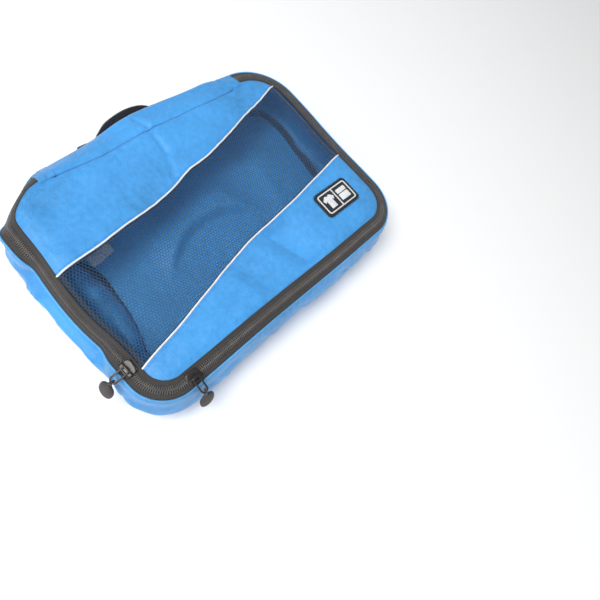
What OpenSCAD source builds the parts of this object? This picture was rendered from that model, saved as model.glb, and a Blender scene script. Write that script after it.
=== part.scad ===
// Soft zip-round packing cube. The mesh-window lid turns on a cloth hinge strip along the back.
// Frame: origin at the centre of the underside, +X along the length, +Y to the hinge, +Z up. Millimetres.

/* [Rim] */
// Length of the zip's centre line along X
rim_l = 273; // [240:1:320]
// Width of the zip's centre line along Y
rim_w = 187; // [165:1:220]
// Height of the zip's centre line above the floor
rim_z = 46; // [40:0.5:70]
// Corner radius of the zip's centre line, back right
corner_back_right = 36; // [26:0.5:38]
// Corner radius of the zip's centre line, back left
corner_back_left = 28; // [24:0.5:36]
// Corner radius of the zip's centre line, front left
corner_front_left = 22; // [22:0.5:26]
// Corner radius of the zip's centre line, front right
corner_front_right = 30; // [24:0.5:36]
// Outward tilt of the zip band, in degrees
band_tilt = 20; // [10:1:25]
// Half of the band's width in plan
band_half = 6.3; // [6:0.1:7]
// Distance of each zip end from the middle of the back
zip_end_x = 94; // [80:1:100]

/* [Cloth] */
// Thickness of the body cloth with its coating
cloth_t = 1; // [0.8:0.1:1.2]
// How far the side walls bulge out
wall_bulge = 8.5; // [7:0.5:10]
// Length of the bottom seam's outline, where the walls' folded-in cloth meets the bottom
seam_l = 232; // [220:1:250]
// Width of the bottom seam's outline
seam_w = 168; // [150:1:176]
// How far the bottom seam has slid towards +X as the bag slumped
seam_shift = 15; // [0:1:16]

/* [Lid] */
// Where the rear piping meets the left edge, along Y
rear_left_y = 17.5; // [10:0.5:25]
// Where the rear piping meets the right edge, along Y
rear_right_y = 70; // [60:0.5:72]
// How far the rear piping bows in over the mesh
rear_bow = 7.5; // [3:0.5:9]
// Where the front piping meets the left edge, along Y
front_left_y = -68; // [-68:0.5:-60]
// Where the front piping meets the right edge, along Y
front_right_y = -21.5; // [-28:0.5:-15]
// How far the front piping bows in over the mesh
front_bow = 4; // [2:0.5:9]
// Diameter of the piping
piping_d = 1.8; // [1.4:0.1:2.2]

/* [Zip] */
// Thickness of the zip tape
tape_t = 0.6; // [0.5:0.05:0.7]
// Half width of the closed coil
coil_half = 2.8; // [2.6:0.1:2.9]
// Height of the coil over the tape
coil_h = 1.6; // [1.4:0.1:1.6]
// Length of a slider
slider_l = 11.5; // [10:0.5:13]
// Where the left slider stands at rest, along Y
slider_left_y = -62; // [-62:0.5:-40]
// Where the front slider stands at rest, along X
slider_front_x = -108; // [-108:0.5:-80]

/* [Pulls] */
// Centre distance of a pull ring's two cross bars
ring_l = 13; // [11:0.5:15]
// Diameter of a pull ring's wire
ring_wire = 1.5; // [1.2:0.1:1.6]
// Width of a rubber grip
grip_w = 13; // [11:0.5:14]
// Length of a rubber grip
grip_l = 14; // [12:0.5:16]
// Thickness of a rubber grip
grip_t = 4.4; // [3.5:0.1:5]

/* [Handle] */
// Width of the handle's webbing
webbing_w = 18; // [14:0.5:19]
// Thickness of the handle's webbing
webbing_t = 1.6; // [1.2:0.1:1.8]
// Height of the handle's middle line
handle_z = 19; // [18:0.5:20]

/* [Badge] */
// Length of the rubber badge
badge_l = 40; // [36:1:44]
// Width of the rubber badge
badge_w = 25; // [22:1:28]
// Place of the badge along X
badge_x = 92; // [88:1:96]
// Place of the badge along Y
badge_y = -53; // [-58:1:-50]

/* [Hidden] */
$fn = 96;

hx = rim_l / 2;
hy = rim_w / 2;
// Wall arc: through the band's outer edge and the floor, standing out by wall_bulge
wall_top = rim_z - band_half * tan(band_tilt);
wall_mid = wall_top / 2;
wall_ro = (wall_mid * wall_mid + wall_bulge * wall_bulge) / (2 * wall_bulge);
wall_cx = band_half + wall_bulge - wall_ro;
// Lid sheet
lid_hx = hx - band_half;
lid_top = rim_z + band_half * tan(band_tilt) + 0.3;
mesh_t = 0.6;
binding_t = 0.7;
// Hinge: a rolled hem turns over the back wall's top edge
hem_r = 0.8;
hinge_out = 7.2;
hinge_z = 43.2;
back_wall_top = hinge_z - hem_r - 0.4;
// Zip halves, measured from the centre line: gap between the halves' inner faces and edges
coil_gap = 0.7;
tape_gap = 0.8;
coil_end_x = zip_end_x + 6;
// Slider plates and their running clearances, in the band's own frame
slider_half = 5;
plate_t = 1.2;
plate_n = coil_h + 0.3;
lip_in = 3.6;
lip_n = 0.4;
low_plate_n = -tape_t - 0.3;
post_half = 0.4;
bail_n = plate_n + plate_t;
pivot_n = bail_n + 1.25;
// Pull: angles below the horizontal at rest
ring_droop = 22;
grip_droop = 70;
ring_half = 2.45;
cord_wire = 1.4;
cord_r = ring_wire / 2 + 0.3 + cord_wire / 2;
neck_l = 5.5;
// Handle in plan: flat end, small outward curve, then the grip's long arc
end_arc_r = 16;
end_arc_x = 42;
swing_angle = 40;
hand_x = end_arc_x - end_arc_r * sin(swing_angle);
hand_r = hand_x / sin(swing_angle);
hand_droop = 10;
end_gap = 2.2;

// ---------- outlines and sweeps ----------

// A rectangle of half sizes ax and ay with round corners
module round_rect(ax, ay, r) {
    square([2 * (ax - r), 2 * ay], center = true);
    square([2 * ax, 2 * (ay - r)], center = true);
    for (sx = [-1, 1], sy = [-1, 1])
        translate([sx * (ax - r), sy * (ay - r)]) circle(r);
}

// Corners by the quarter they lie in, counted from back right to front right
corner_r = [corner_back_right, corner_back_left, corner_front_left, corner_front_right];
side_x = [1, -1, -1, 1];
side_y = [1, 1, -1, -1];

// The zip's centre line in plan, moved outward by grow
module rim_outline(grow) {
    ax = hx + grow;
    ay = hy + grow;
    r = [for (q = [0:3]) corner_r[q] + grow];
    for (q = [0:3]) translate([side_x[q] * (ax - r[q]), side_y[q] * (ay - r[q])]) circle(r[q]);
    polygon([
        [ax, ay - r[0]], [ax - r[0], ay], [r[1] - ax, ay], [-ax, ay - r[1]],
        [-ax, r[2] - ay], [r[2] - ax, -ay], [ax - r[3], -ay], [ax, r[3] - ay]
    ]);
}

// Sweeps a profile, drawn as outward distance and height, along a straight run of length l.
// out is the outward direction in degrees, and the run starts at the given point.
module run(start, out, l) {
    translate(start) rotate([90, 0, out]) linear_extrude(l) children();
}

// Sweeps a profile round one corner
module corner(q) {
    r = corner_r[q];
    translate([side_x[q] * (hx - r), side_y[q] * (hy - r), 0]) rotate(90 * q)
        rotate_extrude(angle = 90) translate([r, 0]) children();
}

// Sweeps a profile round the rim, apart from the back between -open_x and open_x
module around(open_x) {
    r = corner_r;
    for (q = [0:3]) corner(q) children();
    run([hx, hy - r[0], 0], 0, 2 * hy - r[0] - r[3]) children();
    run([-hx, r[2] - hy, 0], 180, 2 * hy - r[1] - r[2]) children();
    run([hx - r[3], -hy, 0], -90, 2 * hx - r[2] - r[3]) children();
    if (open_x > 0) {
        run([r[1] - hx, hy, 0], 90, hx - r[1] - open_x) children();
        run([open_x, hy, 0], 90, hx - r[0] - open_x) children();
    } else {
        run([r[1] - hx, hy, 0], 90, 2 * hx - r[0] - r[1]) children();
    }
}

// A strip of the band from s0 to s1 across it and n0 to n1 over its surface, as a profile
module band(s0, s1, n0, n1) {
    translate([0, rim_z]) rotate(-band_tilt) translate([s0, n0]) square([s1 - s0, n1 - n0]);
}

// The same strip with upright ends at the plan distances r0 and r1
module band_upright(r0, r1, n0, n1) {
    intersection() {
        band(r0 * 1.2 - 3, r1 * 1.2 + 3, n0, n1);
        translate([r0, 0]) square([r1 - r0, 2 * rim_z]);
    }
}

// A shell of the wall's arc, lying from d0 to d1 outside its inner face, between two heights
module wall_arc(d0, d1, z0, z1) {
    ri = wall_ro - cloth_t;
    intersection() {
        translate([wall_cx, wall_mid]) difference() {
            circle(ri + d1, $fn = 180);
            circle(ri + d0, $fn = 180);
        }
        translate([band_half, z0]) square([2 * wall_bulge + 10, z1 - z0]);
    }
}

// ---------- bag body ----------

// The bottom sheet: the walls stand on its edge
module base_panel() {
    color("dodgerblue") linear_extrude(cloth_t) rim_outline(band_half + 0.8);
}

// The walls' top edge is a rolled hem against the zip tape
module wall_front_and_sides() {
    color("dodgerblue") around(zip_end_x) {
        wall_arc(0, cloth_t, cloth_t, wall_top - 0.7);
        translate([band_half + hem_r, wall_top - 0.4]) circle(hem_r);
    }
}

module wall_back() {
    color("dodgerblue") run([-zip_end_x, hy, 0], 90, 2 * zip_end_x)
        wall_arc(0, cloth_t, cloth_t, back_wall_top);
}

module bottom_seam_binding() {
    w = 8;
    color("black") translate([seam_shift, 0, cloth_t]) linear_extrude(1.2) difference() {
        round_rect(seam_l / 2, seam_w / 2, 24);
        round_rect(seam_l / 2 - w, seam_w / 2 - w, 24 - w);
    }
}

// Tape over the upright seam between the back wall and the side walls
module wall_seam_binding(side) {
    w = 6;
    color("black") run([side * zip_end_x - w / 2, hy, 0], 90, w)
        wall_arc(-0.8, 0, 3, back_wall_top - 3);
}

module care_label() {
    color("white") translate([seam_shift - seam_l / 2 + 1, 27, cloth_t + 1.2]) cube([19, 21, 0.4]);
}

// ---------- zip ----------

module zip_tape_base() {
    color("black") around(zip_end_x) band_upright(tape_gap, band_half, -tape_t, 0);
}

module zip_coil_base() {
    color("black") around(coil_end_x) band(coil_gap, coil_half, 0, coil_h);
}

module zip_end_cover(side) {
    color("dodgerblue") run([min(side * zip_end_x, side * coil_end_x), hy, 0], 90, coil_end_x - zip_end_x)
        band_upright(tape_gap + 0.1, band_half, 0, 0.8);
}

module zip_tape_lid() {
    color("black") around(zip_end_x) band_upright(-band_half, -tape_gap, -tape_t, 0);
}

module zip_coil_lid() {
    color("black") around(coil_end_x) band(-coil_half, -coil_gap, 0, coil_h);
}

// ---------- handle ----------

module webbing_profile(r) {
    translate([r - webbing_t / 2, -webbing_w / 2]) square([webbing_t, webbing_w]);
}

// One sewn end: folded double on the wall, then curving away from it
module handle_end(side) {
    flat_r = hand_out() - hand_x_rise();
    color("black") {
        run([min(side * (end_arc_x - 1), side * (end_arc_x + 10)), hy, 0], 90, 11) difference() {
            translate([band_half, handle_z - webbing_w / 2])
                square([wall_bulge + 2 * webbing_t, webbing_w]);
            translate([wall_cx, wall_mid]) circle(wall_ro, $fn = 180);
        }
        translate([side * end_arc_x, hy + flat_r + end_arc_r, handle_z])
            rotate(side > 0 ? -90 - swing_angle : -90)
                rotate_extrude(angle = swing_angle) webbing_profile(end_arc_r);
    }
}

// Outward distance of the handle's swing axis, and how far its small curve has brought it there
function hand_x_rise() = end_arc_r * (1 - cos(swing_angle));
function hand_out() = band_half + wall_bulge + 0.2 + webbing_t / 2 + hand_x_rise();

// The grip between the ends, tapered where it swings past the wall
module handle_strap() {
    taper = 9;
    color("black") translate([0, hy + hand_out(), handle_z]) rotate([-hand_droop, 0, 0])
        intersection() {
            translate([0, -hand_r * cos(swing_angle), 0]) rotate(90 - swing_angle + end_gap)
                rotate_extrude(angle = 2 * (swing_angle - end_gap)) webbing_profile(hand_r);
            rotate([90, 0, 0]) linear_extrude(80, center = true) polygon([
                [-hand_x, -4], [taper - hand_x, -webbing_w / 2], [hand_x - taper, -webbing_w / 2], [hand_x, -4],
                [hand_x, 4], [hand_x - taper, webbing_w / 2], [taper - hand_x, webbing_w / 2], [-hand_x, 4]
            ]);
        }
}

// ---------- lid ----------

// An arc through [-lid_hx, yl] and [lid_hx, yr] that bows by b: [centre x, centre y, radius, chord's slope]
function arc_of(yl, yr, b) =
    let (half = norm([lid_hx, (yr - yl) / 2]),
         r = (half * half + b * b) / (2 * b),
         slope = atan2(yr - yl, 2 * lid_hx),
         d = r - b)
    [-d * sin(slope), (yl + yr) / 2 + d * cos(slope), r, slope];

rear = arc_of(rear_left_y, rear_right_y, rear_bow);
front_up = arc_of(-front_left_y, -front_right_y, front_bow);
front = [front_up[0], -front_up[1], front_up[2], front_up[3]];

module disc(arc, grow) {
    translate([arc[0], arc[1]]) circle(arc[2] + grow, $fn = 1440);
}

module lid_outline() {
    rim_outline(-band_half);
}

module lid_rear_panel() {
    color("dodgerblue") translate([0, 0, lid_top - cloth_t]) linear_extrude(cloth_t)
        intersection() {
            lid_outline();
            disc(rear, -piping_d / 2);
        }
}

module lid_front_panel() {
    color("dodgerblue") translate([0, 0, lid_top - cloth_t]) linear_extrude(cloth_t)
        intersection() {
            lid_outline();
            disc(front, -piping_d / 2);
        }
}

module lid_mesh_window() {
    color("midnightblue") translate([0, 0, lid_top - mesh_t - 0.1]) linear_extrude(mesh_t)
        difference() {
            lid_outline();
            disc(rear, piping_d / 2);
            disc(front, piping_d / 2);
        }
}

// Sweeps a profile, drawn as distance from the piping's line and height, along a piping arc.
// It starts just inside the lid's left edge and stops short of the right one by inset.
// flip is -1 where the arc's centre lies behind it and 1 where it lies in front.
module along(arc, flip, inset) {
    left = acos((1.5 - lid_hx - arc[0]) / arc[2]);
    right = acos((lid_hx - inset - arc[0]) / arc[2]);
    translate([arc[0], arc[1], 0]) rotate(flip < 0 ? -left : right)
        rotate_extrude(angle = left - right, $fn = 1440) translate([arc[2], 0]) children();
}

module piping_rear() {
    color("white") along(rear, -1, 4.5) translate([0, lid_top - 0.2]) circle(piping_d / 2, $fn = 24);
}

module piping_front() {
    color("white") along(front, 1, 1.5) translate([0, lid_top - 0.2]) circle(piping_d / 2, $fn = 24);
}

module seam_strip() {
    translate([-4, lid_top - cloth_t - binding_t - 0.3]) square([8, binding_t]);
}

module mesh_seam_binding_rear() {
    color("black") along(rear, -1, 7) seam_strip();
}

module mesh_seam_binding_front() {
    color("black") along(front, 1, 1.5) seam_strip();
}

module lid_edge_binding() {
    color("black") around(0)
        translate([-band_half - 5.5, lid_top - cloth_t - 2 * binding_t - 0.3]) square([5, binding_t]);
}

// From the lid's back edge down to the hinge line, with ends that fold over the zip
module hinge_strip() {
    color("dodgerblue") {
        run([0.4 - zip_end_x, hy, 0], 90, 2 * zip_end_x - 0.8) {
            band_upright(-band_half, hinge_out - 0.2, -cloth_t, 0);
            translate([hinge_out, hinge_z]) circle(hem_r);
        }
        for (side = [-1, 1])
            run([min(side * (zip_end_x - 1), side * coil_end_x), hy, 0], 90, coil_end_x - zip_end_x + 1)
                band_upright(-band_half + 0.1, -coil_half - 0.1, 0, 0.8);
    }
}

// ---------- badge ----------

module at_badge(z) {
    translate([badge_x, badge_y, z]) children();
}

module badge() {
    color("dimgray") at_badge(lid_top) linear_extrude(1.2)
        round_rect(badge_l / 2, badge_w / 2, 4);
}

module badge_frame() {
    inset = 2.4;
    line = 0.9;
    color("white") at_badge(lid_top + 1.2) linear_extrude(0.3) {
        difference() {
            round_rect(badge_l / 2 - inset, badge_w / 2 - inset, 2.6);
            round_rect(badge_l / 2 - inset - line, badge_w / 2 - inset - line, 1.7);
        }
        square([line, badge_w - 2 * inset - line], center = true);
    }
}

// A short-sleeved top on the left and a folded towel on the right
module badge_pictograms() {
    color("white") at_badge(lid_top + 1.2) linear_extrude(0.3) {
        translate([-8.6, 0]) polygon([
            [-3.4, -6.5], [3.4, -6.5], [3.4, 1.6], [5.2, 0.4], [6.7, 3.2], [3.2, 6.3], [1.5, 6.3],
            [0, 4.9], [-1.5, 6.3], [-3.2, 6.3], [-6.7, 3.2], [-5.2, 0.4], [-3.4, 1.6]
        ]);
        translate([8.6, 0]) {
            translate([0, 3.6]) square([11.4, 4.4], center = true);
            translate([0, -2.6]) square([11.4, 6.4], center = true);
        }
    }
}

// ---------- sliders and pulls ----------

// Puts parts drawn in a slider's own frame on the rim: +X outward, +Y along the zip, origin on its centre line
module on_left() {
    translate([-hx, slider_left_y, rim_z]) rotate(180) children();
}

module on_front() {
    translate([slider_front_x, -hy, rim_z]) rotate(-90) children();
}

function pivot() = [pivot_n * sin(band_tilt), pivot_n * cos(band_tilt)];
function ring_end() = pivot() + ring_l * [cos(ring_droop), -sin(ring_droop)];

// Top plate with two lips and a bridge for the ring, a low plate under the lid's tape, and the post between the coils
module slider() {
    color("darkslategray") rotate([0, band_tilt, 0]) {
        intersection() {
            translate([-slider_half, -slider_l / 2, plate_n]) cube([2 * slider_half, slider_l, plate_t]);
            scale_plan(plate_n);
        }
        for (side = [-1, 1])
            intersection() {
                translate([side > 0 ? lip_in : -slider_half, -slider_l / 2, lip_n])
                    cube([slider_half - lip_in, slider_l, plate_n - lip_n + 0.1]);
                scale_plan(lip_n);
            }
        intersection() {
            translate([-slider_half, -slider_l / 2, low_plate_n - plate_t])
                cube([slider_half + post_half, slider_l, plate_t]);
            scale_plan(low_plate_n - plate_t);
        }
        translate([-post_half, 1, low_plate_n - 0.1]) cube([2 * post_half, 4, plate_n - low_plate_n + 0.2]);
        bridge();
    }
}

// The plan of a slider's plates: a rectangle with well rounded corners
module scale_plan(n) {
    translate([0, 0, n - 0.01]) linear_extrude(plate_n + plate_t) round_rect(slider_half, slider_l / 2, 2.2);
}

module bridge() {
    leg = 0.9;
    span = 2.8;
    top = bail_n + 2.5;
    for (side = [-1, 1])
        translate([side > 0 ? span - leg : -span, -1, bail_n - 0.1]) cube([leg, 2, top - bail_n + 0.2]);
    translate([-span, -1, top]) cube([2 * span, 2, 1]);
}

// A long ring of round wire, from its inner cross bar at the pivot to its outer one
module pull_ring() {
    color("darkslategray") translate([pivot()[0], 0, pivot()[1]]) rotate([0, ring_droop, 0]) {
        for (x = [0, ring_l])
            translate([x, 0, 0]) rotate([90, 0, 0]) cylinder(h = 2 * ring_half, d = ring_wire, center = true);
        for (side = [-1, 1]) translate([0, side * ring_half, 0]) {
            rotate([0, 90, 0]) cylinder(h = ring_l, d = ring_wire);
            for (x = [0, ring_l]) translate([x, 0, 0]) sphere(d = ring_wire);
        }
    }
}

// Places parts drawn along +X from the ring's outer bar
module at_ring_end() {
    translate([ring_end()[0], 0, ring_end()[1]]) rotate([0, grip_droop, 0]) children();
}

module pull_cord() {
    color("black") at_ring_end() {
        rotate([90, 0, 0]) rotate_extrude() translate([cord_r, 0]) circle(d = cord_wire, $fn = 32);
        translate([cord_r, 0, 0]) rotate([0, 90, 0]) cylinder(h = neck_l - cord_r, d = 2.4);
    }
}

module pull_grip() {
    color("dimgray") at_ring_end() translate([neck_l + grip_l / 2, 0, 0])
        linear_extrude(grip_t, center = true) round_rect(grip_l / 2, grip_w / 2, 4.5);
}

// ---------- drawing ----------

base_panel();
wall_front_and_sides();
wall_back();
bottom_seam_binding();
wall_seam_binding(-1);  // wall_seam_binding_left
wall_seam_binding(1);  // wall_seam_binding_right
care_label();
zip_tape_base();
zip_coil_base();
zip_end_cover(-1);  // zip_end_cover_left
zip_end_cover(1);  // zip_end_cover_right
handle_end(-1);  // handle_end_left
handle_end(1);  // handle_end_right
handle_strap();
lid_rear_panel();
lid_front_panel();
lid_mesh_window();
piping_rear();
piping_front();
mesh_seam_binding_rear();
mesh_seam_binding_front();
lid_edge_binding();
hinge_strip();
zip_tape_lid();
zip_coil_lid();
badge();
badge_frame();
badge_pictograms();
on_left() slider();  // slider_left
on_left() pull_ring();  // pull_ring_left
on_left() pull_cord();  // pull_cord_left
on_left() pull_grip();  // pull_grip_left
on_front() slider();  // slider_front
on_front() pull_ring();  // pull_ring_front
on_front() pull_cord();  // pull_cord_front
on_front() pull_grip();  // pull_grip_front
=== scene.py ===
"""Soft zip-round packing cube: the visual model, built in the CAD's frame.

Lengths are in millimetres until a mesh is made.
"""

import math

import bpy
import numpy as np
from mathutils import Matrix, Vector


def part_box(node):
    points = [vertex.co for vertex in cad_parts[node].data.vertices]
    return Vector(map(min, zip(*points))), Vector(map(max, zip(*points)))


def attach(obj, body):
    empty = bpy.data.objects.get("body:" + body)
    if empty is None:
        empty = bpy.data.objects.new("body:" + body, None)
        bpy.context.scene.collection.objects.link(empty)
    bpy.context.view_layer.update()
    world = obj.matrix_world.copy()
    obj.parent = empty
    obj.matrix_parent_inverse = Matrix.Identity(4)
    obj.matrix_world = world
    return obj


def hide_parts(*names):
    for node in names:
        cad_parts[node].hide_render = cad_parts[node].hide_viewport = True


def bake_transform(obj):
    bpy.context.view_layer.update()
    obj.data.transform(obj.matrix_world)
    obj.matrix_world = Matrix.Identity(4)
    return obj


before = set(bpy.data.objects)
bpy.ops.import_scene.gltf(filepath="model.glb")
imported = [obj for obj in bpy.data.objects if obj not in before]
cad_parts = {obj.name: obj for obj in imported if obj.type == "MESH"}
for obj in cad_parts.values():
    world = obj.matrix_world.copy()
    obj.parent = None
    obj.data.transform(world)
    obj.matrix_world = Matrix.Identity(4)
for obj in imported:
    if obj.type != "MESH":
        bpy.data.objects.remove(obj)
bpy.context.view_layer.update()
scene = bpy.context.scene
MM = 0.001
TAU = 2 * math.pi

# ---------- sizes shared with the CAD ----------

BAND = 6.3
TILT = math.radians(20)
TAPE_LO, TAPE_HI = (np.array(c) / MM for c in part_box("zip_tape_base"))
HX = TAPE_HI[0] - BAND
HY = TAPE_HI[1] - BAND
RIM_Z = 46.0
# Corner radii by quarter: back right, back left, front left, front right
RADII = [36.0, 28.0, 22.0, 30.0]
SIDE_X, SIDE_Y = [1, -1, -1, 1], [1, 1, -1, -1]
ZIP_END = 94.0
ZIP_COVER = 6.0
HINGE_R, HINGE_Z = 7.2, 43.2
CLOTH, BINDING = 0.8, 0.6


# ---------- the rim's path ----------

LENGTHS = []
for q, half in ((1, HX), (2, HY), (3, HX), (0, HY)):
    straight = 2 * half - RADII[q - 1] - RADII[q] if LENGTHS else half - RADII[q]
    LENGTHS += [straight, RADII[q] * math.pi / 2]
LENGTHS.append(HX - RADII[0])
STARTS = np.concatenate([[0], np.cumsum(LENGTHS)])
RIM_L = STARTS[-1]


def on_loop(s, hx, hy, radii, cx=0.0, cy=0.0):
    """Points and outward normals of a rounded rectangle, for distances s round the rim from the back's middle."""
    s = np.mod(np.asarray(s, float), RIM_L)
    x, y, nx, ny = (np.zeros_like(s) for _ in range(4))
    seg = np.clip(np.searchsorted(STARTS, s, side="right") - 1, 0, 8)
    f = (s - STARTS[seg]) / np.array(LENGTHS)[seg]
    r0, r1, r2, r3 = radii
    lines = {
        0: ((0, hy), (r1 - hx, hy), (0, 1)),
        2: ((-hx, hy - r1), (-hx, r2 - hy), (-1, 0)),
        4: ((r2 - hx, -hy), (hx - r3, -hy), (0, -1)),
        6: ((hx, r3 - hy), (hx, hy - r0), (1, 0)),
        8: ((hx - r0, hy), (0, hy), (0, 1)),
    }
    for k, (a, b, n) in lines.items():
        m = seg == k
        x[m] = a[0] + (b[0] - a[0]) * f[m]
        y[m] = a[1] + (b[1] - a[1]) * f[m]
        nx[m], ny[m] = n
    for k, q in ((1, 1), (3, 2), (5, 3), (7, 0)):
        m = seg == k
        a = np.radians(90 * q + 90 * f[m])
        nx[m], ny[m] = np.cos(a), np.sin(a)
        x[m] = SIDE_X[q] * (hx - radii[q]) + radii[q] * nx[m]
        y[m] = SIDE_Y[q] * (hy - radii[q]) + radii[q] * ny[m]
    return x + cx, y + cy, nx, ny


def joined(*parts):
    """Points from their separate coordinates, any of which may be one number for all of them."""
    return np.stack(np.broadcast_arrays(*parts), -1)


def smooth(t):
    t = np.clip(t, 0, 1)
    return t * t * (3 - 2 * t)


def bell(x, at, reach, power=2):
    """1 where x is at, falling to 0 over about reach on either side."""
    return np.exp(-(((x - at) / reach) ** power))


def length_along(points):
    """Distance along a line of points, at each of them."""
    steps = np.linalg.norm(np.diff(np.asarray(points, float), axis=0), axis=1)
    return np.concatenate([[0], np.cumsum(steps)])


def angles(n):
    return np.arange(n) / n * TAU


def ripple(x, y, length, seed):
    """Smooth, seeded unevenness from about -1 to 1, with folds about one length apart."""
    rng = np.random.default_rng(seed)
    total, waves = 0, 7
    for _ in range(waves):
        a, k = rng.uniform(0, TAU), TAU / length * rng.uniform(0.7, 1.4)
        total = total + np.sin(k * (x * math.cos(a) + y * math.sin(a)) + rng.uniform(0, TAU))
    return total / math.sqrt(waves)


def rim_distance(x, y):
    """Signed distance outside the zip's centre line in plan."""
    r = np.where(y >= 0, np.where(x >= 0, RADII[0], RADII[1]), np.where(x >= 0, RADII[3], RADII[2]))
    qx, qy = np.abs(x) - HX + r, np.abs(y) - HY + r
    return np.minimum(np.maximum(qx, qy), 0) + np.hypot(np.maximum(qx, 0), np.maximum(qy, 0)) - r


# Where the sliders stand at rest and at the far end of their run: the rim stays true there
LEFT_AT, LEFT_STOP, FRONT_AT, FRONT_STOP = -62.0, 56.0, -108.0, 100.0
STATIONS = [(-HX, LEFT_AT), (-HX, LEFT_STOP), (FRONT_AT, -HY), (FRONT_STOP, -HY)]


def settle(x, y, z):
    """The slack of the whole rim: the left side bows out, the right one dents in, and its height wanders."""
    calm = 1.0
    for sx, sy in STATIONS:
        calm = calm * (1 - np.exp(-((x - sx) ** 2 + (y - sy) ** 2) / 600))
    calm = calm * (1 - bell(x, BADGE[0], 34, 4) * bell(y, BADGE[1], 27, 4))
    left = bell(x, -HX, 45) * np.cos(np.clip((y + 10) / 75, -1, 1) * math.pi / 2) ** 2
    right = bell(x, HX, 45) * np.cos(np.clip((y + 8) / 55, -1, 1) * math.pi / 2) ** 2
    free = smooth((88 - y) / 30)
    up = smooth(z / RIM_Z) * calm
    # The back left corner is pulled in
    pull = smooth(z / 14) * bell(x, -126, 21) * bell(y, 92, 21)
    return (
        x + up * (-4.2 * left - 1.6 * right) + 4.4 * pull,
        y + up * free * 0.5 * ripple(x, 0, 160, 5) - 5.4 * pull,
        z + up * free * 0.7 * ripple(x, y, 190, 6),
    )


PIVOT_R, PIVOT_Z = -BAND, RIM_Z + BAND * math.tan(TILT)
LEFT_STOP_S = 162


def rolled(s, r, z):
    """The band turns further down round the back left corner and along the left side, but not at the left stop."""
    s = np.mod(s, RIM_L)
    a = 21 * smooth((s - 12) / 80) + 19 * smooth((s - 94) / 24) - 8 * smooth((s - 150) / 30)
    a = np.radians(a) * smooth((274 - s) / 20) * (1 - bell(s, LEFT_STOP_S, 16, 4))
    side = smooth((s - 165) / 40)
    a = a * smooth((z - 6 - 20 * side) / (30 - 14 * side))
    dr, dz = np.maximum(r - PIVOT_R, 0), z - PIVOT_Z
    dz = np.where(r > PIVOT_R, dz, 0)
    nr = dr * np.cos(a) + dz * np.sin(a) + PIVOT_R
    nz = -dr * np.sin(a) + dz * np.cos(a) + PIVOT_Z
    return np.where(r > PIVOT_R, nr, r), np.where(r > PIVOT_R, nz, z)


def band_point(s, r, z):
    """Row-frame points at distance s round the rim, r outside its centre line and height z."""
    x, y, nx, ny = on_loop(s, HX, HY, RADII)
    r, z = rolled(s, r + 0 * x, z + 0 * x)
    return np.stack(settle(x + r * nx, y + r * ny, z), -1)


def tilted(points):
    """Points across the band and over it, as outward distance and height."""
    p = np.asarray(points, float)
    return np.stack(
        [p[..., 0] * math.cos(TILT) + p[..., 1] * math.sin(TILT),
         RIM_Z - p[..., 0] * math.sin(TILT) + p[..., 1] * math.cos(TILT)], -1)


# ---------- mesh helpers ----------

def outward(p, faces):
    """The faces of a closed shell, turned so that their normals point out."""
    tri = np.array([(f[0], i, j) for f in faces for i, j in zip(f[1:-1], f[2:])])
    a, b, c = (p[tri[:, k]] - p.mean(0) for k in range(3))
    return faces if (a * np.cross(b, c)).sum() >= 0 else [f[::-1] for f in faces]


def add_object(name, data):
    ob = bpy.data.objects.new(name, data)
    scene.collection.objects.link(ob)
    return ob


class Build:
    """Collects closed shells and sheets into one mesh."""

    def __init__(self):
        self.v, self.f, self.uv, self.n = [], [], [], 0

    def add(self, verts, faces, uv=None):
        verts = np.asarray(verts, float).reshape(-1, 3)
        self.v.append(verts)
        self.f += [tuple(i + self.n for i in face) for face in faces]
        self.uv.append(verts[:, :2] if uv is None else np.asarray(uv, float).reshape(-1, 2))
        self.n += len(verts)

    def grid(self, p, close_u=False, close_v=False, caps=False, uv=None):
        """p is rows x columns x 3. Rows run along u. caps closes the ends of a tube whose columns close."""
        p = np.asarray(p, float)
        nu, nv = p.shape[:2]
        faces = []
        for i in range(nu if close_u else nu - 1):
            a, b = i * nv, (i + 1) % nu * nv
            for j in range(nv if close_v else nv - 1):
                k = (j + 1) % nv
                faces.append((a + j, a + k, b + k, b + j))
        if caps:
            faces.append(tuple(range(nv))[::-1])
            faces.append(tuple((nu - 1) * nv + j for j in range(nv)))
        if close_v and (caps or close_u):
            faces = outward(p.reshape(-1, 3), faces)
        self.add(p, faces, uv)

    def tube(self, path, radius, sides=10, up=(0, 0, 1)):
        """A tube with closed ends."""
        self.grid(tube(path, radius, sides, up=up), close_v=True, caps=True)

    def piece(self, name, material, body, slot, *nodes, fold=None, thickness=0, offset=-1, bevel=0, angle=None):
        """Makes the mesh. It rides its body, or with a fold is left on no body, and stands for CAD nodes."""
        me = bpy.data.meshes.new(name)
        me.from_pydata((np.concatenate(self.v) * MM).tolist(), [], self.f)
        uv = np.concatenate(self.uv)
        layer = me.uv_layers.new(name="cloth")
        index = np.zeros(len(me.loops), np.int32)
        me.loops.foreach_get("vertex_index", index)
        layer.data.foreach_set("uv", (uv[index] * MM).astype(np.float32).ravel())
        me.materials.append(M[material])
        me.polygons.foreach_set("use_smooth", [True] * len(me.polygons))
        me.update()
        ob = add_object(name, me)
        if angle is not None:
            me.set_sharp_from_angle(angle=math.radians(angle))
        if thickness:
            m = ob.modifiers.new("thickness", "SOLIDIFY")
            m.thickness, m.offset, m.use_even_offset = thickness * MM, offset, False
        if bevel:
            m = ob.modifiers.new("bevel", "BEVEL")
            m.width, m.segments, m.limit_method, m.angle_limit = bevel * MM, 2, "ANGLE", math.radians(35)
        if nodes:
            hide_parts(*nodes)
        if fold:
            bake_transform(ob)
        else:
            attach(ob, body)


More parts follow.
